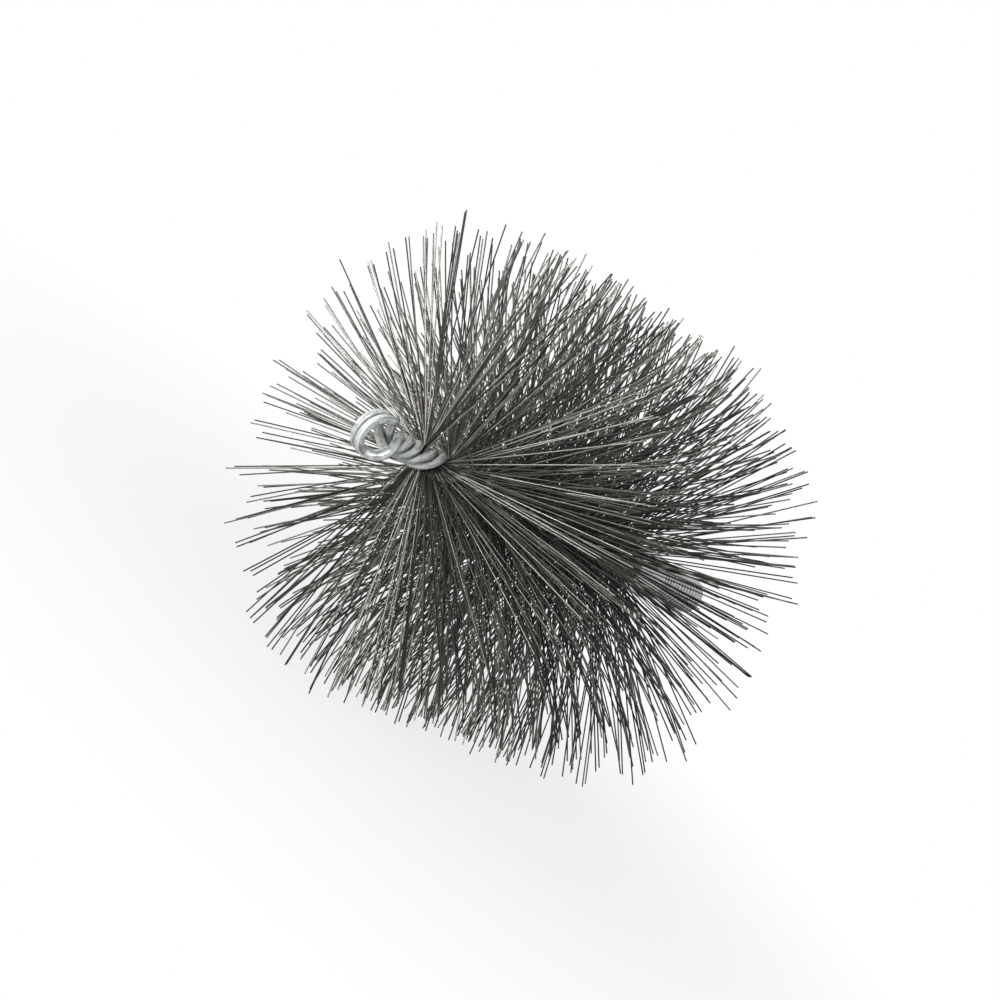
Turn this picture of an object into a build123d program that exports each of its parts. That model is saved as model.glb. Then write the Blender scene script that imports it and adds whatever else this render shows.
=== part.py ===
"""Twisted-wire tube brush with a double-wire eye and a threaded stud.

Two steel wires are each bent into a hairpin whose closed end is a ring. The two
rings lie side by side and make the eye. The four legs are twisted together from
the middle of the eye on, and the bristle wires run straight through the twist,
clamped between the two core wires, so that their tips climb round the core as a
double screw. A sleeve with a threaded stud is pressed on the far end of the legs.

The brush lies on its bristle tips: +Z is up, +Y runs along the core from the eye
to the stud, and the origin is the middle of the bounding box's bottom face.
"""
import math
import os

from build123d import *

# Lengths are in millimetres and angles in degrees.

# Bristles
brush_diameter = 140.0
bristled_length = 110.0
bristle_side = 0.45
rest_flat_depth = 0.5
bundle_count = 16
wires_per_bundle = 14

# Core wires and their twist
wire_diameter = 2.7
wire_clearance = 0.06
clamped_thickness = 1.4
clamped_half_width = 2.0
bristled_turns = 4.23
neck_turn = 350.0
neck_looseness = 0.3
spread_share = 1.2
twist_lead = 1.0
twist_start_length = 5.0
twist_change_length = 2.0
settled_length = 1.0
tail_length = 5.0
wire_sides = 10
facets_per_turn = 12
slope_step = 0.01

# Eye, which leans a little out of the core's line
eye_mean_radius = 5.8
eye_throat_radius = 4.0
eye_to_bristles = 20.8
eye_lean = 6.0
throat_facets = 3

# Threaded stud and its sleeve
sleeve_diameter = 15.0
sleeve_length = 15.0
bore_clearance = 0.06
bore_depth = 12.0
bore_end_room = 1.5
crimp_across_flats = 13.0
crimp_inset = 2.0
crimp_length = 10.5
crimp_sides = 6
stud_diameter = 12.0
stud_length = 27.0
stud_chamfer = 1.2

wire_radius = wire_diameter / 2
brush_radius = brush_diameter / 2
axis_height = brush_radius - rest_flat_depth
core_rate = 360.0 * bristled_turns / bristled_length


def least_wire_distance(across, along, rate):
    """Least distance between the centre lines of the two legs on one side of the bristles."""
    orbit = math.hypot(across, along)
    apart = 2 * math.atan2(across, along)
    samples = 90
    least = math.inf
    for number in range(samples + 1):
        turned = -apart * number / samples
        travel = math.degrees(turned) / rate if rate else 0
        chord_squared = 2 * orbit**2 * (1 - math.cos(apart + turned))
        if rate or number == 0:
            least = min(least, math.sqrt(chord_squared + travel**2))
    return least


def least_wire_height(across, along, rate):
    """Least height of a leg's surface over the middle plane of the bristles."""
    orbit = math.hypot(across, along)
    place = math.atan2(along, across)
    slope = orbit * math.radians(rate)
    cosine = 1 / math.hypot(1, slope)
    sine = slope * cosine
    samples = 180
    least = math.inf
    for number in range(samples):
        around = math.tau * number / samples
        outward = orbit + wire_radius * math.cos(around)
        sideways = wire_radius * math.sin(around)
        turned = math.atan2(sideways * cosine, outward)
        turned += math.radians(rate) * sideways * sine
        height = math.hypot(outward, sideways * cosine) * math.sin(place + turned)
        least = min(least, height)
    return least


def leg_layout(rate, clamped):
    """Half spacings of the four legs, across and along the bristles' plane normal."""
    across = wire_radius
    along = wire_radius + clamped / 2
    rounds = 60
    for _ in range(rounds):
        spacing = wire_diameter + wire_clearance
        across += (spacing - least_wire_distance(across, along, rate)) / 2
        if clamped:
            wanted_height = clamped / 2 + wire_clearance
            along += wanted_height - least_wire_height(across, along, rate)
        else:
            along = across
    return across, along


# Twist rates: steep in the neck and slower where the bristles are
gentle_turn = core_rate * (twist_change_length / 2 + settled_length)
steep_length = twist_lead + eye_to_bristles - settled_length
steep_length -= (twist_start_length + twist_change_length) / 2
neck_rate = (neck_turn - gentle_turn) / steep_length
ring_half_gap = wire_radius + wire_clearance / 2
neck_half_gap = leg_layout(neck_rate, 0.0)[0] + neck_looseness
clamped_half_gap, clamped_half_height = leg_layout(core_rate, clamped_thickness)
core_radius = math.hypot(clamped_half_gap, clamped_half_height) + wire_radius
bore_radius = core_radius + bore_clearance

# Throat between the ring and the neck
throat_arcs_apart = eye_mean_radius + eye_throat_radius
throat_angle = math.asin((neck_half_gap + eye_throat_radius) / throat_arcs_apart)
ring_reach = eye_mean_radius * math.cos(throat_angle)
throat_length = eye_throat_radius * math.cos(throat_angle)

# Places along the core, measured from the leaning eye's outer end
eye_reach = eye_mean_radius * math.cos(math.radians(eye_lean))
eye_reach += ring_half_gap * math.sin(math.radians(eye_lean))
eye_centre_at = eye_reach + wire_radius
throat_at = eye_centre_at + ring_reach
neck_at = throat_at + throat_length
bristles_at = eye_centre_at + eye_to_bristles
tail_at = bristles_at + bristled_length
sleeve_at = tail_at + tail_length
core_end_at = sleeve_at + bore_depth - bore_end_room
stud_at = sleeve_at + sleeve_length
overall_length = stud_at + stud_length
start_y = -overall_length / 2

first_twist_at = eye_centre_at - twist_lead
change_at = bristles_at - settled_length
rate_steps = (
    (first_twist_at, 0.0),
    (first_twist_at + twist_start_length, neck_rate),
    (change_at - twist_change_length, neck_rate),
    (change_at, core_rate),
    (overall_length, core_rate),
)


def twist_at(place):
    """Degrees turned from +X towards +Z at a place on the core, and degrees per millimetre."""
    turned = 0.0
    rate = 0.0
    for (low, low_rate), (high, high_rate) in zip(rate_steps, rate_steps[1:]):
        covered = min(max(place - low, 0), high - low)
        rate_reached = low_rate + (high_rate - low_rate) * covered / (high - low)
        turned += covered * (low_rate + rate_reached) / 2
        if covered:
            rate = rate_reached
    return turned, rate


def bristle_angle(place):
    """Degrees by which the bristles at a place have turned from +X towards +Z."""
    return twist_at(place)[0] - 90


def blend(share):
    """Smooth step from 0 to 1."""
    share = min(max(share, 0), 1)
    return share * share * (3 - 2 * share)


def wire_point(place, along, half_turn):
    """Centre of a core wire, where along is its distance from the plane of both wires."""
    turned, rate = twist_at(place)
    to_neck = blend((place - throat_at) / throat_length)
    to_clamped = blend((place - change_at + twist_change_length) / twist_change_length)
    across = ring_half_gap * math.hypot(1, spread_share * along * math.radians(rate))
    across += (neck_half_gap - across) * to_neck
    across += (clamped_half_height - across) * to_clamped
    angle = math.radians(turned + half_turn)
    cosine = math.cos(angle)
    sine = math.sin(angle)
    upright = Vector(
        -across * cosine - along * sine,
        start_y + place,
        axis_height - across * sine + along * cosine,
    )
    eye_centre = Vector(0, start_y + eye_centre_at, 0)
    return (upright - eye_centre).rotate(Axis.Z, eye_lean * (to_neck - 1)) + eye_centre


def leg_point(place, level, half_turn):
    """Centre of a leg, where level is 1 or -1 and half_turn is 0 or 180 degrees."""
    into_throat = min(max(neck_at - place, 0), eye_throat_radius)
    rise = eye_throat_radius - math.sqrt(eye_throat_radius**2 - into_throat**2)
    to_clamped = blend((place - change_at + twist_change_length) / twist_change_length)
    along = neck_half_gap + (clamped_half_gap - neck_half_gap) * to_clamped
    return wire_point(place, level * (along + rise), half_turn)


def ring_point(angle, half_turn):
    """Centre of a wire's ring, where the angle in radians runs from the neck over the top."""
    place = eye_centre_at + eye_mean_radius * math.cos(angle)
    return wire_point(place, eye_mean_radius * math.sin(angle), half_turn)


def leg_station(place, level, half_turn):
    """Point and direction of a leg, towards the eye on the upper leg and away on the lower."""
    before = leg_point(place - slope_step, level, half_turn)
    after = leg_point(place + slope_step, level, half_turn)
    return leg_point(place, level, half_turn), (before - after) * level


def ring_station(angle, half_turn):
    """Point and direction of a wire's ring."""
    before = ring_point(angle - slope_step, half_turn)
    after = ring_point(angle + slope_step, half_turn)
    return ring_point(angle, half_turn), after - before


def wire_planes(half_turn):
    """Planes square to one core wire, from the far end of a leg round the eye and back."""
    facet_turn = 360 / facets_per_turn
    throat_step = throat_length / throat_facets
    neck_length = bristles_at - neck_at
    neck_count = math.ceil((neck_turn - twist_at(neck_at)[0]) / facet_turn)
    span = core_end_at - bristles_at
    count = math.ceil(span * core_rate / facet_turn)
    ring_turn = math.tau - 2 * throat_angle
    ring_count = math.ceil(math.degrees(ring_turn) / facet_turn)
    places = [throat_at + throat_step * number for number in range(1, throat_facets)]
    places += [neck_at + neck_length * number / neck_count for number in range(neck_count)]
    places += [bristles_at + span * number / count for number in range(count + 1)]
    angles = [throat_angle + ring_turn * number / ring_count for number in range(ring_count + 1)]
    stations = [leg_station(place, 1, half_turn) for place in reversed(places)]
    stations += [ring_station(angle, half_turn) for angle in angles]
    stations += [leg_station(place, -1, half_turn) for place in places]
    planes = []
    sideways = Vector(0, 0, 1).cross(stations[0][1])
    for point, direction in stations:
        direction = direction.normalized()
        sideways -= direction * sideways.dot(direction)
        planes.append(Plane(point, x_dir=sideways, z_dir=direction))
    return planes


os.makedirs("parts", exist_ok=True)

# Core wires, each one unbroken length of wire
for wire_name, half_turn in (("core_wire_a", 0), ("core_wire_b", 180)):
    planes = wire_planes(half_turn)
    with BuildPart() as core_wire:
        for plane in planes:
            with BuildSketch(plane):
                RegularPolygon(wire_radius, wire_sides)
        loft(ruled=True, clean=False)
    core_wire.part.label = wire_name
    export_step(core_wire.part, f"parts/{wire_name}.step")
    steps = [(high.origin - low.origin).length for low, high in zip(planes, planes[1:])]
    print(wire_name, "length", round(sum(steps), 1), "volume", round(core_wire.part.volume, 1))

# Bristle bundles, each a slice of the clamped wires with their two fans of strands
slice_length = bristled_length / bundle_count
slice_turn = core_rate * slice_length
wire_step = slice_length / wires_per_bundle
for number in range(bundle_count):
    slice_at = bristles_at + slice_length * number
    slice_angle = math.radians(bristle_angle(slice_at))
    slice_plane = Plane(
        (0, start_y + slice_at, axis_height),
        x_dir=(math.cos(slice_angle), 0, math.sin(slice_angle)),
        z_dir=(0, 1, 0),
    )
    strand_places = []
    for wire in range(wires_per_bundle):
        place = slice_at + wire_step / 2 + wire_step * wire
        strand_turn = (0, -bristle_angle(place), 0)
        strand_places.append(Location((0, start_y + place, axis_height), strand_turn))
    with BuildSketch(slice_plane) as clamped_section:
        Rectangle(2 * clamped_half_width, clamped_thickness)
    with BuildPart() as bristle_bundle:
        add(
            Solid.extrude_linear_with_rotation(
                clamped_section.sketch.face(),
                slice_plane.origin,
                slice_plane.z_dir * slice_length,
                -slice_turn,
            )
        )
        with Locations(*strand_places):
            Box(brush_diameter, bristle_side, bristle_side)
        split(bisect_by=Plane.XY, keep=Keep.TOP)
    bristle_bundle.part.label = f"bristle_bundle_{number + 1:02d}"
    export_step(bristle_bundle.part, f"parts/{bristle_bundle.part.label}.step")

# Sleeve and threaded stud, one turned piece with a hexagonal crimp cut by a wider ring
stud_radius = stud_diameter / 2
sleeve_radius = sleeve_diameter / 2
cutter_radius = 2 * sleeve_radius
mouth_y = start_y + sleeve_at
shoulder_y = start_y + stud_at
stud_end_y = start_y + overall_length
bore_end_y = mouth_y + bore_depth
with BuildPart() as threaded_stud:
    with BuildSketch(Plane.XY.offset(axis_height)):
        with BuildLine():
            Polyline(
                (bore_radius, mouth_y),
                (sleeve_radius, mouth_y),
                (sleeve_radius, shoulder_y),
                (stud_radius, shoulder_y),
                (stud_radius, stud_end_y - stud_chamfer),
                (stud_radius - stud_chamfer, stud_end_y),
                (0, stud_end_y),
                (0, bore_end_y),
                (bore_radius, bore_end_y),
                close=True,
            )
        make_face()
    revolve(axis=Axis((0, 0, axis_height), (0, 1, 0)))
    with BuildSketch(Plane((0, mouth_y + crimp_inset, axis_height), x_dir=(1, 0, 0), z_dir=(0, 1, 0))):
        Circle(cutter_radius)
        RegularPolygon(crimp_across_flats / 2, crimp_sides, major_radius=False, mode=Mode.SUBTRACT)
    extrude(amount=crimp_length, mode=Mode.SUBTRACT)
threaded_stud.part.label = "threaded_stud"
export_step(threaded_stud.part, "parts/threaded_stud.step")

print("overall length", round(overall_length, 2))
print("core radius in the bristles", round(core_radius, 3))
print("neck pitch", round(360 / neck_rate, 2))
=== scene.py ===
"""Twisted-wire tube brush: smooth core wires with a double eye, steel bristle wires and a threaded stud.

The brush lies on its bristle tips. +Y runs along the core from the eye to the stud, +Z is up, and
the origin is the middle of the bounding box's bottom face. Every length is in metres.
"""
import math

import bpy
from mathutils import Matrix, Vector
from mathutils.kdtree import KDTree


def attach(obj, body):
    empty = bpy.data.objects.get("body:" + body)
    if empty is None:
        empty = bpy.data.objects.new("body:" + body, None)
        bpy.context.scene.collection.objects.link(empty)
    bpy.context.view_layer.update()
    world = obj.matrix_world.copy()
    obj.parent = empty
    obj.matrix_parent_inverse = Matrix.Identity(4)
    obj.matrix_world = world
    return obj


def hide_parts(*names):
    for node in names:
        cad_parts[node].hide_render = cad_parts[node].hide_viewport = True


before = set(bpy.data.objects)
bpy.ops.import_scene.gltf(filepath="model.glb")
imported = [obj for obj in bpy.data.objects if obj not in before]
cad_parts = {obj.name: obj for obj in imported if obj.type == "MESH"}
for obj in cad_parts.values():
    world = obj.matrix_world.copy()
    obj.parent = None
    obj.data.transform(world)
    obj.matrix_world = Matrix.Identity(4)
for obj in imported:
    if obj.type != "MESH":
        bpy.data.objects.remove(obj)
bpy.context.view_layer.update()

mm = 0.001

# Sizes shared by the pieces
brush_radius = 70 * mm
axis_height = 69.5 * mm
bristled_length = 110 * mm
bristled_turns = 4.23
sleeve_length = 15 * mm
stud_length = 27 * mm

# Places along the core, measured from the eye's tip
eye_centre_at = 7.2625 * mm
throat_at = 11.8983 * mm
neck_at = 15.0954 * mm
first_twist_at = eye_centre_at - 1 * mm
neck_full_rate_at = first_twist_at + 5 * mm
bristles_at = eye_centre_at + 20.8 * mm
core_rate_starts_at = bristles_at - 1 * mm
neck_rate_ends_at = core_rate_starts_at - 2 * mm
sleeve_mouth_at = bristles_at + bristled_length + 5 * mm
core_end_at = sleeve_mouth_at + 10.5 * mm
overall_length = sleeve_mouth_at + sleeve_length + stud_length
eye_tip_y = -overall_length / 2

# Core wires
core_wire_radius = 1.35 * mm
core_wire_sides = 24
core_rate = math.tau * bristled_turns / bristled_length
neck_rate = math.radians(18.6308) / mm
ring_half_gap = 1.38 * mm
neck_half_gap = 1.8894 * mm
clamped_half_gap = 1.586 * mm
clamped_half_height = 2.2226 * mm
spread_share = 1.2
eye_mean_radius = 5.8 * mm
eye_lean = math.radians(6)
throat_angle = math.radians(36.9387)
throat_radius = 4 * mm

# Painted shade in the grooves between the strands: how far off a neighbour's middle the painted shade starts
# and is darkest
groove_clear_at = 1.9 * core_wire_radius
groove_darkest_at = 1.08 * core_wire_radius
own_reach = 30

# Bristle wires
bundle_count = 16
packets_per_bundle = 28
wires_per_packet = 2
bristle_diameter = 0.42 * mm
bristle_sides = 6
bristle_points = 7
length_spread = 4 * mm
angle_spread = math.radians(2.3)
tilt_spread = math.radians(2.2)
bend_spread = 1.3 * mm
missing_share = 0.18

# Sleeve and threaded stud
sleeve_radius = 7.5 * mm
bore_radius = 4.1405 * mm
bore_depth = 12 * mm
crimp_flat_radius = 6.5 * mm
crimp_sides = 6
stud_radius = 6 * mm
stud_chamfer = 1.3 * mm
thread_pitch = 1.75 * mm
thread_depth = 1.05 * mm
thread_crest_share = 0.14
thread_root_share = 0.22
hidden_rod_length = 1 * mm
run_out_from = 1.6 * mm
run_out_length = 1.5 * mm
rings_per_pitch = 14

# Floor: how far from the brush's middle its shadow is kept
shadow_full_within = 0.08
shadow_gone_at = 0.24
floor_half_width = 6.0


# ---------------------------------------------------------------- node trees

def node(tree, kind, inputs=None, **settings):
    """Adds a node, sets its properties, and gives its inputs values or links."""
    added = tree.nodes.new(kind)
    for name, value in settings.items():
        setattr(added, name, value)
    for key, value in (inputs or {}).items():
        if isinstance(value, bpy.types.NodeSocket):
            tree.links.new(value, added.inputs[key])
        else:
            added.inputs[key].default_value = value
    return added


def calc(tree, operation, *values):
    """Output of a Math node."""
    return node(tree, "ShaderNodeMath", dict(enumerate(values)), operation=operation).outputs[0]


def vector_calc(tree, operation, first, second):
    """Output of a Vector Math node of two vectors, or of a vector and a factor for SCALE."""
    inputs = {0: first, "Scale" if operation == "SCALE" else 1: second}
    return node(tree, "ShaderNodeVectorMath", inputs, operation=operation).outputs[0]


def combine(tree, x, y, z):
    """Vector from three numbers."""
    return node(tree, "ShaderNodeCombineXYZ", {"X": x, "Y": y, "Z": z}).outputs[0]


def random_number(tree, low, high, number, seed):
    """Random number between low and high, the same for the same whole number and seed."""
    inputs = {2: low, 3: high, "ID": number, "Seed": seed}
    return node(tree, "FunctionNodeRandomValue", inputs, data_type="FLOAT").outputs[1]


def capture(tree, geometry, socket_type, value):
    """Stores a value on a geometry's points, and returns the geometry and the stored value."""
    taken = tree.nodes.new("GeometryNodeCaptureAttribute")
    taken.capture_items.new(socket_type, "Value")
    tree.links.new(geometry, taken.inputs[0])
    tree.links.new(value, taken.inputs[1])
    return taken.outputs[0], taken.outputs[1]


def store(tree, geometry, name, data_type, value):
    """Stores a value on a geometry's points under a name that a material can read."""
    stored = node(
        tree, "GeometryNodeStoreNamedAttribute", {"Geometry": geometry, "Name": name},
        data_type=data_type, domain="POINT",
    )
    tree.links.new(value, stored.inputs["Value"])
    return stored.outputs[0]


def new_geometry_tree(name, sockets):
    """A geometry node tree with the named inputs, its input node and its output node."""
    tree = bpy.data.node_groups.new(name, "GeometryNodeTree")
    tree.interface.new_socket("Geometry", in_out="INPUT", socket_type="NodeSocketGeometry")
    for socket_name, socket_type in sockets:
        tree.interface.new_socket(socket_name, in_out="INPUT", socket_type=socket_type)
    tree.interface.new_socket("Geometry", in_out="OUTPUT", socket_type="NodeSocketGeometry")
    return tree, tree.nodes.new("NodeGroupInput").outputs, tree.nodes.new("NodeGroupOutput")


def finish_wire_mesh(tree, curves, radius, sides, space, material, output):
    """Sweeps a round profile along curves, smooths its walls, and ends the tree."""
    profile = node(
        tree, "GeometryNodeCurvePrimitiveCircle", {"Resolution": sides, "Radius": radius}, mode="RADIUS"
    ).outputs[0]
    profile, around = capture(tree, profile, "VECTOR", node(tree, "GeometryNodeInputPosition").outputs[0])
    swept = node(
        tree, "GeometryNodeCurveToMesh", {"Curve": curves, "Profile Curve": profile, "Fill Caps": True}
    ).outputs[0]
    swept = store(tree, swept, "wire_space", "FLOAT_VECTOR", vector_calc(tree, "ADD", space, around))
    corners = node(tree, "GeometryNodeInputMeshFaceNeighbors").outputs["Vertex Count"]
    walls = node(tree, "FunctionNodeCompare", {2: corners, 3: 4}, data_type="INT", operation="EQUAL")
    smooth = node(
        tree, "GeometryNodeSetShadeSmooth", {"Geometry": swept, "Selection": walls.outputs[0]}
    ).outputs[0]
    realized = node(tree, "GeometryNodeRealizeInstances", {"Geometry": smooth}).outputs[0]
    coated = node(tree, "GeometryNodeSetMaterial", {"Geometry": realized, "Material": material}).outputs[0]
    tree.links.new(coated, output.inputs[0])


def grow(name, tree, base_mesh, values):
    """Makes an object, grows its mesh with a node tree, and keeps the result as a plain mesh."""
    piece = bpy.data.objects.new(name, base_mesh)
    bpy.context.scene.collection.objects.link(piece)
    modifier = piece.modifiers.new("grow", "NODES")
    modifier.node_group = tree
    for item in tree.interface.items_tree:
        if item.item_type == "SOCKET" and item.in_out == "INPUT" and item.name in values:
            modifier[item.identifier] = values[item.name]
    evaluated = piece.evaluated_get(bpy.context.evaluated_depsgraph_get())
    grown = bpy.data.meshes.new_from_object(evaluated)
    grown.name = name
    piece.modifiers.clear()
    piece.data = grown
    return piece


# ---------------------------------------------------------------- materials

def new_material(name, values):
    """A material with a Principled BSDF whose plain values are set on its own sockets."""
    material = bpy.data.materials.new(name)
    material.use_nodes = True
    shader = material.node_tree.nodes["Principled BSDF"]
    for socket_name, value in values.items():
        shader.inputs[socket_name].default_value = value
    return material, material.node_tree, shader


def make_grain_group():
    """Shader group: masks of stretched marks and of cloudy patches, and the normal that both bump."""
    tree = bpy.data.node_groups.new("metal_grain", "ShaderNodeTree")
    for socket_name, socket_type, default in (
        ("Vector", "NodeSocketVector", (0, 0, 0)),
        ("Mark Scale", "NodeSocketVector", (1, 1, 1)),
        ("Patch Scale", "NodeSocketFloat", 100),
        ("Bump Depth", "NodeSocketFloat", 0.1),
    ):
        socket = tree.interface.new_socket(socket_name, in_out="INPUT", socket_type=socket_type)
        socket.default_value = default
    tree.interface.new_socket("Marks", in_out="OUTPUT", socket_type="NodeSocketFloat")
    tree.interface.new_socket("Patches", in_out="OUTPUT", socket_type="NodeSocketFloat")
    tree.interface.new_socket("Normal", in_out="OUTPUT", socket_type="NodeSocketVector")
    given = tree.nodes.new("NodeGroupInput").outputs
    output = tree.nodes.new("NodeGroupOutput")
    stretched = vector_calc(tree, "MULTIPLY", given["Vector"], given["Mark Scale"])
    marks = node(
        tree, "ShaderNodeTexNoise", {"Vector": stretched, "Scale": 1.0, "Detail": 4.0, "Roughness": 0.6}
    ).outputs[0]
    patches = node(
        tree, "ShaderNodeTexNoise", {"Vector": given["Vector"], "Scale": given["Patch Scale"], "Detail": 5.0}
    ).outputs[0]
    height = calc(tree, "ADD", marks, calc(tree, "MULTIPLY", patches, 0.5))
    bumped = node(
        tree, "ShaderNodeBump", {"Height": height, "Strength": 0.5, "Distance": given["Bump Depth"]}
    ).outputs[0]
    tree.links.new(marks, output.inputs["Marks"])
    tree.links.new(patches, output.inputs["Patches"])
    tree.links.new(bumped, output.inputs["Normal"])
    return tree


def place_grain(tree, group, vector, mark_scale, patch_scale, bump_depth):
    """Places the grain group in a material and returns its outputs."""
    placed = node(tree, "ShaderNodeGroup", node_tree=group)
    tree.links.new(vector, placed.inputs["Vector"])
    placed.inputs["Mark Scale"].default_value = mark_scale
    placed.inputs["Patch Scale"].default_value = patch_scale
    placed.inputs["Bump Depth"].default_value = bump_depth
    return placed.outputs


def ramp(tree, factor, stops):
    """Colour ramp output for a factor, from (place, colour) stops."""
    placed = node(tree, "ShaderNodeValToRGB", {"Fac": factor})
    elements = placed.color_ramp.elements
    while len(elements) < len(stops):
        elements.new(1)
    for element, (place, colour) in zip(elements, stops):
        element.position = place
        element.color = (*colour, 1)
    return placed.outputs[0]


def weigh(tree, first, first_share, second):
    """Sum of a share of one value and the remaining share of another."""
    second_share = 1 - first_share
    return calc(
        tree, "ADD", calc(tree, "MULTIPLY", first, first_share), calc(tree, "MULTIPLY", second, second_share)
    )


def tint(tree, share, colour, other):
    """Colour mixed with another, plain colour by a share."""
    inputs = {"Factor": share, 6: colour, 7: (*other, 1)}
    return node(tree, "ShaderNodeMix", inputs, data_type="RGBA").outputs[2]


def attribute(tree, name, output):
    """Value that a mesh stores under a name."""
    return node(tree, "ShaderNodeAttribute", attribute_name=name).outputs[output]


def spread(tree, value, low, high):
    """Maps 0.3 to 0.7, where noise mostly lies, onto low to high."""
    inputs = {"Value": value, "From Min": 0.3, "From Max": 0.7, "To Min": low, "To Max": high}
    return node(tree, "ShaderNodeMapRange", inputs).outputs[0]


def make_core_wire_material(group):
    """Galvanised wire: pale, slightly green grey zinc with drawing marks and dull patches, and shade painted
    darker in the grooves between strands.
    """
    material, tree, shader = new_material(
        "galvanised_core_wire",
        {"Metallic": 0.5, "Specular IOR Level": 0.35, "Specular Tint": (0.45, 0.47, 0.45, 1)},
    )
    grain = place_grain(
        tree, group, attribute(tree, "wire_space", "Vector"), mark_scale=(1700, 1700, 80), patch_scale=500,
        bump_depth=0.06 * mm,
    )
    colour = ramp(tree, weigh(tree, grain["Patches"], 0.45, grain["Marks"]), (
        (0.37, (0.18, 0.194, 0.185)), (0.48, (0.44, 0.463, 0.443)), (0.6, (0.67, 0.69, 0.665)),
    ))
    place = node(tree, "ShaderNodeTexCoord").outputs["Object"]
    specks = node(tree, "ShaderNodeTexNoise", {"Vector": place, "Scale": 1500.0, "Detail": 2.0}).outputs[0]
    soiled = node(
        tree, "ShaderNodeMapRange",
        {"Value": specks, "From Min": 0.64, "From Max": 0.72, "To Min": 0.0, "To Max": 0.8},
    ).outputs[0]
    colour = tint(tree, soiled, colour, (0.08, 0.08, 0.075))
    # Painted shade: the colour darkens towards near-black grey in the grooves between strands, where shade
    # falls, varied a little by the drawing marks.
    painted_groove_shade = calc(tree, "MULTIPLY", attribute(tree, "groove", "Fac"), spread(tree, grain["Marks"], 0.7, 1.0))
    colour = tint(tree, painted_groove_shade, colour, (0.05, 0.052, 0.048))
    tree.links.new(colour, shader.inputs["Base Color"])
    tree.links.new(spread(tree, grain["Marks"], 0.36, 0.58), shader.inputs["Roughness"])
    tree.links.new(grain["Normal"], shader.inputs["Normal"])
    return material


def make_bristle_material(group):
    """Drawn steel wire: dark warm grey, each wire with its own tone and dull patches."""
    material, tree, shader = new_material("bristle_steel", {"Metallic": 0.6, "Specular IOR Level": 0.3})
    grain = place_grain(
        tree, group, attribute(tree, "wire_space", "Vector"), mark_scale=(5000, 5000, 150), patch_scale=300,
        bump_depth=0.02 * mm,
    )
    colour = ramp(tree, weigh(tree, attribute(tree, "wire_tone", "Fac"), 0.7, grain["Patches"]), (
        (0.2, (0.0125, 0.012, 0.0105)), (0.55, (0.058, 0.056, 0.05)), (0.8, (0.22, 0.213, 0.192)),
    ))
    tree.links.new(colour, shader.inputs["Base Color"])
    tree.links.new(spread(tree, grain["Marks"], 0.16, 0.32), shader.inputs["Roughness"])
    tree.links.new(grain["Normal"], shader.inputs["Normal"])
    return material


def make_stud_material(group):
    """Zinc-plated turned steel, with turning marks and thread crests rubbed bright."""
    material, tree, shader = new_material("plated_stud", {"Metallic": 0.9})
    place = node(tree, "ShaderNodeTexCoord").outputs["Object"]
    grain = place_grain(
        tree, group, place, mark_scale=(60, 4000, 60), patch_scale=180, bump_depth=0.03 * mm
    )
    dull = ramp(tree, grain["Patches"], ((0.3, (0.33, 0.34, 0.34)), (0.7, (0.47, 0.48, 0.47))))
    colour = tint(tree, attribute(tree, "rubbed", "Fac"), dull, (0.7, 0.7, 0.68))
    tree.links.new(colour, shader.inputs["Base Color"])
    tree.links.new(spread(tree, grain["Marks"], 0.22, 0.42), shader.inputs["Roughness"])
    tree.links.new(grain["Normal"], shader.inputs["Normal"])
    return material


# ---------------------------------------------------------------- core wires

rate_steps = (
    (first_twist_at, 0),
    (neck_full_rate_at, neck_rate),
    (neck_rate_ends_at, neck_rate),
    (core_rate_starts_at, core_rate),
    (overall_length, core_rate),
)


def twist_at(place):
    """Radians turned from +X towards +Z at a place on the core, and radians per metre there."""
    turned = 0
    rate = 0
    for (low, low_rate), (high, high_rate) in zip(rate_steps, rate_steps[1:]):
        covered = min(max(place - low, 0), high - low)
        rate_reached = low_rate + (high_rate - low_rate) * covered / (high - low)
        turned += covered * (low_rate + rate_reached) / 2
        if covered:
            rate = rate_reached
    return turned, rate


def blend(place, low, high):
    """Smooth step from 0 to 1 between two places."""
    share = min(max((place - low) / (high - low), 0), 1)
    return share * share * (3 - 2 * share)


def wire_point(place, along, half_turn):
    """Centre of a core wire, where along is its distance from the plane of both wires."""
    turned, rate = twist_at(place)
    necked = blend(place, throat_at, neck_at)
    across = ring_half_gap * math.hypot(1, spread_share * along * rate)
    across += (neck_half_gap - across) * necked
    across += (clamped_half_height - across) * blend(place, neck_rate_ends_at, core_rate_starts_at)
    angle = turned + half_turn
    x = -across * math.cos(angle) - along * math.sin(angle)
    z = -across * math.sin(angle) + along * math.cos(angle)
    lean = eye_lean * (1 - necked)
    from_eye = place - eye_centre_at
    return Vector((
        x * math.cos(lean) + from_eye * math.sin(lean),
        eye_tip_y + eye_centre_at - x * math.sin(lean) + from_eye * math.cos(lean),
        axis_height + z,
    ))


def leg_point(place, level, half_turn):
    """Centre of a leg at a place on the core, where level is 1 or -1."""
    into_throat = max(neck_at - place, 0)
    rise = throat_radius - math.sqrt(throat_radius**2 - into_throat**2)
    clamped = blend(place, neck_rate_ends_at, core_rate_starts_at)
    along = neck_half_gap + (clamped_half_gap - neck_half_gap) * clamped + rise
    return wire_point(place, level * along, half_turn)


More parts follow.
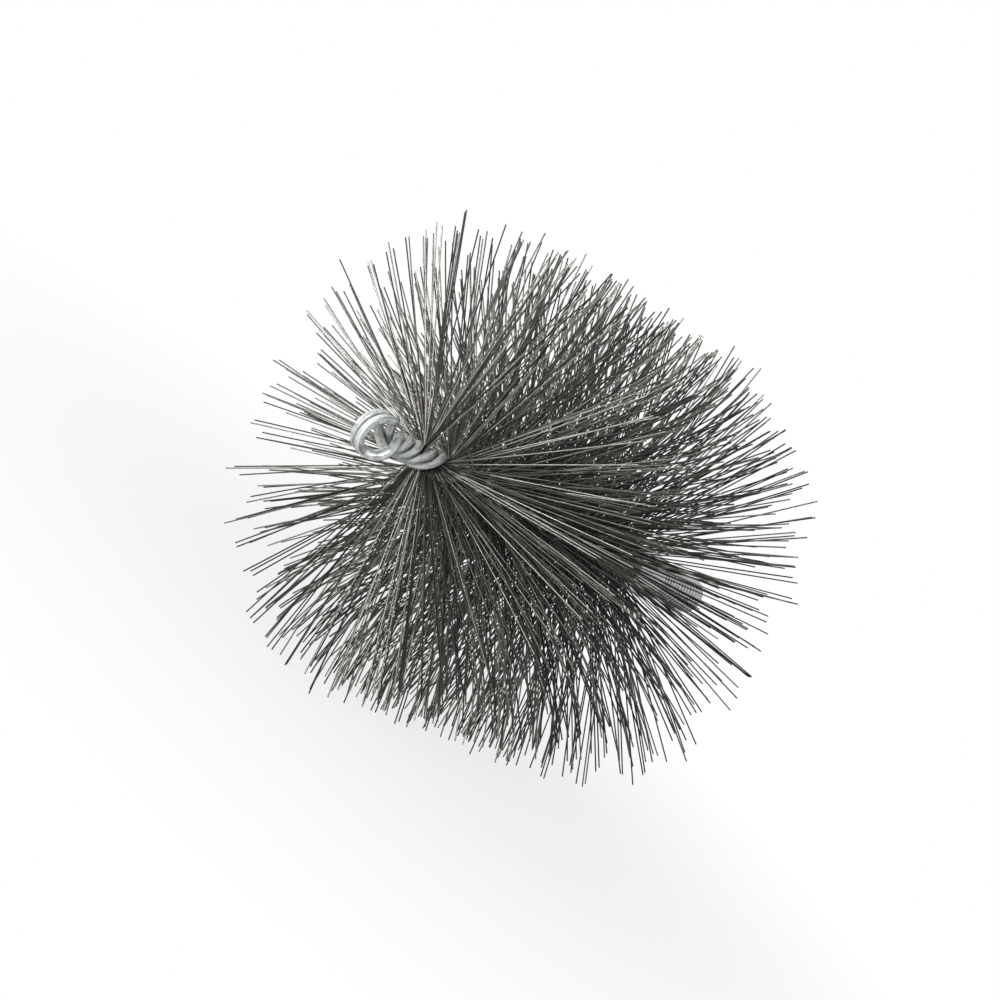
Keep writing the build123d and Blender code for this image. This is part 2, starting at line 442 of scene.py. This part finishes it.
def core_wire_path(half_turn):
    """Points down the middle of a core wire: up its first leg, round the eye and down the second."""
    leg_steps, ring_steps = 240, 72
    places = [throat_at + (core_end_at - throat_at) * step / leg_steps for step in range(1, leg_steps + 1)]
    first_leg = [leg_point(place, 1, half_turn) for place in reversed(places)]
    second_leg = [leg_point(place, -1, half_turn) for place in places]
    ring = []
    for step in range(ring_steps + 1):
        angle = throat_angle + (math.tau - 2 * throat_angle) * step / ring_steps
        place = eye_centre_at + eye_mean_radius * math.cos(angle)
        ring.append(wire_point(place, eye_mean_radius * math.sin(angle), half_turn))
    return first_leg + ring + second_leg


def make_wire_tree():
    """Geometry tree: a round wire along a chain of edges, with its own straightened coordinates."""
    tree, given, output = new_geometry_tree("round_wire", (
        ("Wire Radius", "NodeSocketFloat"),
        ("Sides", "NodeSocketInt"),
        ("Material", "NodeSocketMaterial"),
    ))
    curve = node(tree, "GeometryNodeMeshToCurve", {"Mesh": given["Geometry"]}).outputs[0]
    length = node(tree, "GeometryNodeSplineParameter").outputs["Length"]
    curve, along = capture(tree, curve, "VECTOR", combine(tree, 0.0, 0.0, length))
    finish_wire_mesh(
        tree, curve, given["Wire Radius"], given["Sides"], along, given["Material"], output
    )
    return tree


def mark_groove_shade(mesh, middles, points_per_wire):
    """Stores how deep each point lies between neighbouring strands of the core, 0 to 1, which the core's
    material uses to paint shade in the grooves.

    middles holds the points down the middle of both wires. Those less than own_reach points away
    on a point's own wire don't count as a neighbour.
    """
    depths = []
    for vertex in mesh.vertices:
        own = middles.find(vertex.co)[1]
        nearest = groove_clear_at
        for _, number, distance in middles.find_range(vertex.co, groove_clear_at):
            same_wire = number // points_per_wire == own // points_per_wire
            if not (same_wire and abs(number - own) < own_reach):
                nearest = min(nearest, distance)
        depth = (groove_clear_at - nearest) / (groove_clear_at - groove_darkest_at)
        depths.append(min(depth, 1) ** 2)
    mesh.attributes.new("groove", "FLOAT", "POINT").data.foreach_set("value", depths)


def make_core_wires(material):
    """The two core wires, each one unbroken wire with both legs and its ring of the eye."""
    tree = make_wire_tree()
    paths = [core_wire_path(0), core_wire_path(math.pi)]
    middles = KDTree(len(paths[0]) + len(paths[1]))
    for number, point in enumerate(paths[0] + paths[1]):
        middles.insert(point, number)
    middles.balance()
    for letter, path in zip("ab", paths):
        chain = bpy.data.meshes.new("core_path")
        chain.from_pydata(path, [(first, first + 1) for first in range(len(path) - 1)], [])
        values = {"Wire Radius": core_wire_radius, "Sides": core_wire_sides, "Material": material}
        wire = grow(f"core_wire_smooth_{letter}", tree, chain, values)
        # The groove depth stored here drives the painted shade between the strands.
        mark_groove_shade(wire.data, middles, len(path))
        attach(wire, "root")
        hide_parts(f"core_wire_{letter}")


# ---------------------------------------------------------------- bristle wires

def make_bristle_tree():
    """Geometry tree: packets of straight wires through the twist, ragged and slightly bent.

    Every wire has two ends, one on each side of the core, and each end is made by itself. The
    random numbers are shares of a packet's room on the core and of the four spreads.
    """
    tree, given, output = new_geometry_tree("bristle_wires", (
        ("Packets", "NodeSocketInt"),
        ("Wires in Packet", "NodeSocketInt"),
        ("Start", "NodeSocketFloat"),
        ("Start Angle", "NodeSocketFloat"),
        ("Length", "NodeSocketFloat"),
        ("Turn", "NodeSocketFloat"),
        ("Axis Height", "NodeSocketFloat"),
        ("Tip Radius", "NodeSocketFloat"),
        ("Wire Diameter", "NodeSocketFloat"),
        ("Length Spread", "NodeSocketFloat"),
        ("Angle Spread", "NodeSocketFloat"),
        ("Tilt Spread", "NodeSocketFloat"),
        ("Bend Spread", "NodeSocketFloat"),
        ("Missing Share", "NodeSocketFloat"),
        ("Seed", "NodeSocketInt"),
        ("Material", "NodeSocketMaterial"),
    ))
    seeds = [calc(tree, "ADD", given["Seed"], number) for number in range(12)]
    index = node(tree, "GeometryNodeInputIndex").outputs[0]
    ends = calc(tree, "MULTIPLY", calc(tree, "MULTIPLY", given["Packets"], given["Wires in Packet"]), 2.0)

    # Which end, wire and packet a point stands for
    end = calc(tree, "MODULO", index, 2.0)
    side = calc(tree, "SUBTRACT", 1.0, calc(tree, "MULTIPLY", end, 2.0))
    wire = calc(tree, "FLOOR", calc(tree, "DIVIDE", index, 2.0))
    layer = calc(tree, "MODULO", wire, given["Wires in Packet"])
    packet = calc(tree, "FLOOR", calc(tree, "DIVIDE", wire, given["Wires in Packet"]))
    packet_end = calc(tree, "ADD", calc(tree, "MULTIPLY", packet, 2.0), end)

    # Where the wire lies on the core and where its end points
    shift = random_number(tree, -0.2, 0.2, packet, seeds[0])
    share = calc(tree, "DIVIDE", calc(tree, "ADD", calc(tree, "ADD", packet, 0.5), shift), given["Packets"])
    angle = calc(tree, "ADD", given["Start Angle"], calc(tree, "MULTIPLY", given["Turn"], share))
    packet_swing = random_number(tree, -0.8, 0.8, packet_end, seeds[1])
    wire_swing = random_number(tree, -0.3, 0.3, index, seeds[2])
    swing = calc(tree, "MULTIPLY", calc(tree, "ADD", packet_swing, wire_swing), given["Angle Spread"])
    aimed = calc(tree, "ADD", angle, swing)
    packet_lean = random_number(tree, -1.0, 1.0, packet_end, seeds[3])
    wire_lean = random_number(tree, -0.3, 0.3, index, seeds[4])
    lean = calc(tree, "MULTIPLY", calc(tree, "ADD", packet_lean, wire_lean), given["Tilt Spread"])
    outward = calc(tree, "MULTIPLY", side, calc(tree, "COSINE", lean))
    aim = combine(
        tree,
        calc(tree, "MULTIPLY", outward, calc(tree, "COSINE", aimed)),
        calc(tree, "SINE", lean),
        calc(tree, "MULTIPLY", outward, calc(tree, "SINE", aimed)),
    )
    packet_shift = random_number(tree, -0.8, 0.8, packet, seeds[5])
    wire_shift = random_number(tree, -0.4, 0.4, wire, seeds[6])
    off_centre = calc(tree, "MULTIPLY", calc(tree, "ADD", packet_shift, wire_shift), side)
    wire_cut = random_number(tree, -0.3, 0.2, index, seeds[11])
    cut = calc(tree, "MULTIPLY", calc(tree, "ADD", off_centre, wire_cut), given["Length Spread"])
    aim = vector_calc(tree, "SCALE", aim, calc(tree, "ADD", given["Tip Radius"], cut))

    # The four layers that the core clamps: a packet's wires lie two apart, with the next packet's between
    middle = calc(tree, "DIVIDE", calc(tree, "SUBTRACT", given["Wires in Packet"], 1.0), 2.0)
    apart = calc(tree, "MULTIPLY", calc(tree, "SUBTRACT", layer, middle), 2.0)
    raised = calc(tree, "SUBTRACT", calc(tree, "MODULO", packet, 2.0), 0.5)
    lift = calc(tree, "MULTIPLY", calc(tree, "ADD", apart, raised), given["Wire Diameter"])
    place = calc(tree, "ADD", given["Start"], calc(tree, "MULTIPLY", share, given["Length"]))
    root = combine(
        tree,
        calc(tree, "MULTIPLY", lift, calc(tree, "MULTIPLY", calc(tree, "SINE", angle), -1.0)),
        place,
        calc(tree, "ADD", given["Axis Height"], calc(tree, "MULTIPLY", lift, calc(tree, "COSINE", angle))),
    )

    # A few wires are bent much more than the rest
    bend_share = calc(tree, "POWER", random_number(tree, 0.0, 1.0, index, seeds[7]), 5.0)
    bend_share = calc(tree, "ADD", calc(tree, "MULTIPLY", bend_share, 2.5), 0.35)
    bend_size = calc(tree, "MULTIPLY", bend_share, given["Bend Spread"])
    bend = node(
        tree, "FunctionNodeRandomValue",
        {0: (-1, -1, -1), 1: (1, 1, 1), "ID": index, "Seed": seeds[8]}, data_type="FLOAT_VECTOR",
    ).outputs[0]
    bend = vector_calc(tree, "SCALE", bend, bend_size)
    tone = random_number(tree, 0.0, 1.0, index, seeds[9])

    points = node(tree, "GeometryNodePoints", {"Count": ends}).outputs[0]
    points, root = capture(tree, points, "VECTOR", root)
    points, aim = capture(tree, points, "VECTOR", aim)
    points, bend = capture(tree, points, "VECTOR", bend)
    points, tone = capture(tree, points, "FLOAT", tone)
    missing = node(
        tree, "FunctionNodeRandomValue",
        {"Probability": given["Missing Share"], "ID": index, "Seed": seeds[10]}, data_type="BOOLEAN",
    ).outputs[3]
    points = node(
        tree, "GeometryNodeDeleteGeometry", {"Geometry": points, "Selection": missing}, domain="POINT"
    ).outputs[0]
    line = node(tree, "GeometryNodeCurvePrimitiveLine", {"End": (1, 0, 0)}).outputs[0]
    line = node(tree, "GeometryNodeResampleCurve", {"Curve": line, "Count": bristle_points}).outputs[0]
    wires = node(tree, "GeometryNodeInstanceOnPoints", {"Points": points, "Instance": line}).outputs[0]
    wires = node(tree, "GeometryNodeRealizeInstances", {"Geometry": wires}).outputs[0]
    on_line = node(tree, "GeometryNodeInputPosition").outputs[0]
    reached = node(tree, "ShaderNodeSeparateXYZ", {0: on_line}).outputs[0]
    wires, reached = capture(tree, wires, "FLOAT", reached)
    straight = vector_calc(tree, "ADD", root, vector_calc(tree, "SCALE", aim, reached))
    bent = vector_calc(tree, "SCALE", bend, calc(tree, "MULTIPLY", reached, reached))
    curved = vector_calc(tree, "ADD", straight, bent)
    on_floor = vector_calc(tree, "MAXIMUM", curved, (-1.0, -1.0, 0.5 * bristle_diameter))
    wires = node(tree, "GeometryNodeSetPosition", {"Geometry": wires, "Position": on_floor}).outputs[0]
    wires = store(tree, wires, "wire_tone", "FLOAT", tone)
    length = calc(tree, "MULTIPLY", reached, given["Tip Radius"])
    space = combine(tree, tone, 0.0, length)
    radius = calc(tree, "DIVIDE", given["Wire Diameter"], 2.0)
    finish_wire_mesh(tree, wires, radius, bristle_sides, space, given["Material"], output)
    return tree


def make_bristles(material):
    """The bristle wires, in the sixteen bundles that stretches of the twist hold."""
    tree = make_bristle_tree()
    bundle_length = bristled_length / bundle_count
    for number in range(bundle_count):
        start = bristles_at + bundle_length * number
        values = {
            "Packets": packets_per_bundle,
            "Wires in Packet": wires_per_packet,
            "Start": eye_tip_y + start,
            "Start Angle": twist_at(start)[0] - math.pi / 2,
            "Length": bundle_length,
            "Turn": core_rate * bundle_length,
            "Axis Height": axis_height,
            "Tip Radius": brush_radius,
            "Wire Diameter": bristle_diameter,
            "Length Spread": length_spread,
            "Angle Spread": angle_spread,
            "Tilt Spread": tilt_spread,
            "Bend Spread": bend_spread,
            "Missing Share": missing_share,
            "Seed": 100 * number,
            "Material": material,
        }
        wires = grow(f"bristle_wires_{number + 1:02d}", tree, bpy.data.meshes.new("seedbed"), values)
        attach(wires, "root")
        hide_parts(f"bristle_bundle_{number + 1:02d}")


# ---------------------------------------------------------------- sleeve and threaded stud

def ring_grid(name, rings, steps, radius_at, rubbed_at, material):
    """Object of rings round the core's axis, closed at both ends and smooth along its walls.

    Each ring is (place, extra), where radius_at and rubbed_at take the extra. rubbed_at gives how
    bright the metal is worn there, 0 to 1.
    """
    vertices, rubbed, faces = [], [], []
    for place, extra in rings:
        for step in range(steps):
            angle = math.tau * step / steps
            radius = radius_at(place, angle, extra)
            vertices.append((
                radius * math.cos(angle), eye_tip_y + place, axis_height + radius * math.sin(angle)
            ))
            rubbed.append(rubbed_at(radius, extra))
    for ring in range(len(rings) - 1):
        for step in range(steps):
            after = (step + 1) % steps
            low, high = ring * steps, (ring + 1) * steps
            faces.append((low + step, high + step, high + after, low + after))
    faces.append(tuple(range(steps)))
    last = (len(rings) - 1) * steps
    faces.append(tuple(last + step for step in reversed(range(steps))))
    mesh = bpy.data.meshes.new(name)
    mesh.from_pydata(vertices, [], faces)
    mesh.materials.append(material)
    mesh.attributes.new("rubbed", "FLOAT", "POINT").data.foreach_set("value", rubbed)
    mesh.validate()
    for polygon in mesh.polygons:
        polygon.use_smooth = len(polygon.vertices) == 4
    piece = bpy.data.objects.new(name, mesh)
    bpy.context.scene.collection.objects.link(piece)
    return piece


def sleeve_radius_at(place, angle, ring):
    """Radius of the sleeve's wall, where a ring is its round radius and its share of the crimp."""
    round_radius, crimp_share = ring
    sector = math.tau / crimp_sides
    from_flat = (angle + sector / 2) % sector - sector / 2
    flat_radius = min(round_radius, crimp_flat_radius / math.cos(from_flat))
    return round_radius + (flat_radius - round_radius) * crimp_share


def make_sleeve(material):
    """Pressed sleeve with a six-sided crimp, rolled edges and an open bore round the core."""
    mouth, shoulder = sleeve_mouth_at, sleeve_mouth_at + sleeve_length
    profile = [
        (mouth + bore_depth, bore_radius, 0),
        (mouth + 0.5 * mm, bore_radius, 0),
        (mouth + 0.12 * mm, bore_radius + 0.12 * mm, 0),
        (mouth, bore_radius + 0.45 * mm, 0),
        (mouth, sleeve_radius - 0.7 * mm, 0),
        (mouth + 0.15 * mm, sleeve_radius - 0.25 * mm, 0),
        (mouth + 0.6 * mm, sleeve_radius, 0),
        (mouth + 1.7 * mm, sleeve_radius, 0),
        (mouth + 2.0 * mm, sleeve_radius, 0.15),
        (mouth + 2.4 * mm, sleeve_radius, 0.8),
        (mouth + 2.8 * mm, sleeve_radius, 1),
        (mouth + 11.7 * mm, sleeve_radius, 1),
        (mouth + 12.1 * mm, sleeve_radius, 0.8),
        (mouth + 12.5 * mm, sleeve_radius, 0.15),
        (mouth + 12.8 * mm, sleeve_radius, 0),
        (shoulder - 0.7 * mm, sleeve_radius, 0),
        (shoulder - 0.2 * mm, sleeve_radius - 0.2 * mm, 0),
        (shoulder, sleeve_radius - 0.7 * mm, 0),
        (shoulder, stud_radius - thread_depth - 0.2 * mm, 0),
    ]
    rings = [(place, (radius, crimp)) for place, radius, crimp in profile]
    return ring_grid("sleeve", rings, 96, sleeve_radius_at, lambda radius, ring: 0.15, material)


def thread_radius_at(place, angle, limits):
    """Radius of the thread, held inside the limit that the chamfer or the run-out sets."""
    turned = (place / thread_pitch - angle / math.tau) % 1
    ridge = abs(2 * turned - 1)
    flank_share = 1 - thread_crest_share - thread_root_share
    height = min(max((ridge - thread_root_share) / flank_share, 0), 1)
    limit, depth = limits
    return min(limit, stud_radius - depth * (1 - height))


def make_threaded_rod(material):
    """Threaded stud with a real screw thread, a chamfered end and a run-out at the shoulder."""
    start = sleeve_mouth_at + sleeve_length - hidden_rod_length
    step_length = thread_pitch / rings_per_pitch
    steps = round((overall_length - start) / step_length)
    rings = []
    for step in range(steps + 1):
        place = start + (overall_length - start) * step / steps
        to_end = overall_length - place
        chamfer_limit = stud_radius - stud_chamfer + min(to_end, stud_chamfer)
        run_out = min(max((place - start - run_out_from) / run_out_length, 0), 1)
        rings.append((place, (chamfer_limit, thread_depth * run_out)))
    crest = stud_radius - 0.12 * mm
    return ring_grid(
        "threaded_rod", rings, 72, thread_radius_at,
        lambda radius, limits: 0.9 if radius > crest else 0.1, material,
    )


def make_stud(material):
    """The sleeve and the stud, one piece of turned steel."""
    for piece in (make_sleeve(material), make_threaded_rod(material)):
        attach(piece, "root")
        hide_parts("threaded_stud")


# ---------------------------------------------------------------- camera, floor and lights

view_azimuth = math.radians(35.6)
view_elevation = math.radians(10)
view_roll = math.radians(40.93)
forward = Vector((
    -math.sin(view_azimuth) * math.cos(view_elevation),
    math.cos(view_azimuth) * math.cos(view_elevation),
    -math.sin(view_elevation),
))
level_right = Vector((math.cos(view_azimuth), math.sin(view_azimuth), 0))
level_up = level_right.cross(forward)
right = level_right * math.cos(view_roll) + level_up * math.sin(view_roll)
up = level_up * math.cos(view_roll) - level_right * math.sin(view_roll)
bristle_start = Vector((0, eye_tip_y + bristles_at, axis_height))
camera_distance = 900 * mm
camera_lens = 115.3
film_width = 36
camera_aim = bristle_start + right * 23.17 * mm - up * 12.58 * mm


def to_rotation(x_axis, y_axis, z_axis):
    """Euler rotation whose axes are the three given directions."""
    return Matrix((x_axis, y_axis, z_axis)).transposed().to_euler()


def make_camera():
    """Camera at the photograph's viewing angle."""
    lens = bpy.data.cameras.new("camera")
    lens.lens = camera_lens
    lens.sensor_width = film_width
    camera = bpy.data.objects.new("camera", lens)
    camera.location = camera_aim - forward * camera_distance
    camera.rotation_euler = to_rotation(right, up, -forward)
    bpy.context.scene.collection.objects.link(camera)
    bpy.context.scene.camera = camera


def make_light(name, direction, distance, size, power):
    """Soft square light that shines at the middle of the brush from a direction."""
    lamp = bpy.data.lights.new(name, "AREA")
    lamp.shape = "SQUARE"
    lamp.size = size
    lamp.energy = power
    light = bpy.data.objects.new(name, lamp)
    direction = direction.normalized()
    light.location = Vector((0, 0, axis_height)) + direction * distance
    light.rotation_euler = direction.to_track_quat("Z", "Y").to_euler()
    bpy.context.scene.collection.objects.link(light)


def seen_ray(tree):
    """1 for a ray that shows the surroundings: to the camera, in a reflection or through something clear."""
    ray = node(tree, "ShaderNodeLightPath").outputs
    shown = calc(tree, "MAXIMUM", ray["Is Camera Ray"], ray["Is Glossy Ray"])
    return calc(tree, "MAXIMUM", shown, ray["Is Transmission Ray"])


def make_stage():
    """White floor and surroundings. The floor keeps a faint shadow of the brush."""
    mesh = bpy.data.meshes.new("floor")
    half = floor_half_width
    corners = [(-half, -half, 0), (half, -half, 0), (half, half, 0), (-half, half, 0)]
    mesh.from_pydata(corners, [], [(0, 1, 2, 3)])
    floor = bpy.data.objects.new("floor", mesh)
    bpy.context.scene.collection.objects.link(floor)
    material = bpy.data.materials.new("white_floor")
    material.use_nodes = True
    tree = material.node_tree
    tree.nodes.clear()
    matt = node(tree, "ShaderNodeBsdfDiffuse", {"Color": (0.95, 0.95, 0.95, 1)}).outputs[0]
    glow = node(tree, "ShaderNodeEmission", {"Color": (1, 1, 1, 1), "Strength": 1.0}).outputs[0]
    place = node(tree, "ShaderNodeTexCoord").outputs["Object"]
    distance = node(tree, "ShaderNodeVectorMath", {0: place}, operation="LENGTH").outputs["Value"]
    whiteness = node(
        tree, "ShaderNodeMapRange",
        {"Value": distance, "From Min": shadow_full_within, "From Max": shadow_gone_at, "To Min": 0.78},
    ).outputs[0]
    share = calc(tree, "MULTIPLY", seen_ray(tree), whiteness)
    mixed = node(tree, "ShaderNodeMixShader", {0: share, 1: matt, 2: glow}).outputs[0]
    node(tree, "ShaderNodeOutputMaterial", {"Surface": mixed})
    mesh.materials.append(material)

    world = bpy.data.worlds.new("studio")
    world.use_nodes = True
    bpy.context.scene.world = world
    tree = world.node_tree
    tree.nodes.clear()
    strength = node(
        tree, "ShaderNodeMapRange", {"Value": seen_ray(tree), "To Min": 0.3, "To Max": 1.0}
    ).outputs[0]
    background = node(tree, "ShaderNodeBackground", {"Color": (1, 1, 1, 1), "Strength": strength}).outputs[0]
    node(tree, "ShaderNodeOutputWorld", {"Surface": background})


grain_group = make_grain_group()
make_core_wires(make_core_wire_material(grain_group))
make_bristles(make_bristle_material(grain_group))
make_stud(make_stud_material(grain_group))
make_camera()
make_stage()
make_light("key", up * 0.25 - forward - right * 0.22, distance=1.1, size=0.3, power=8.5)
make_light("side", up * 0.8 - forward * 0.35 - right * 0.85, distance=1.2, size=0.4, power=13)
bpy.context.scene.view_settings.view_transform = "Standard"
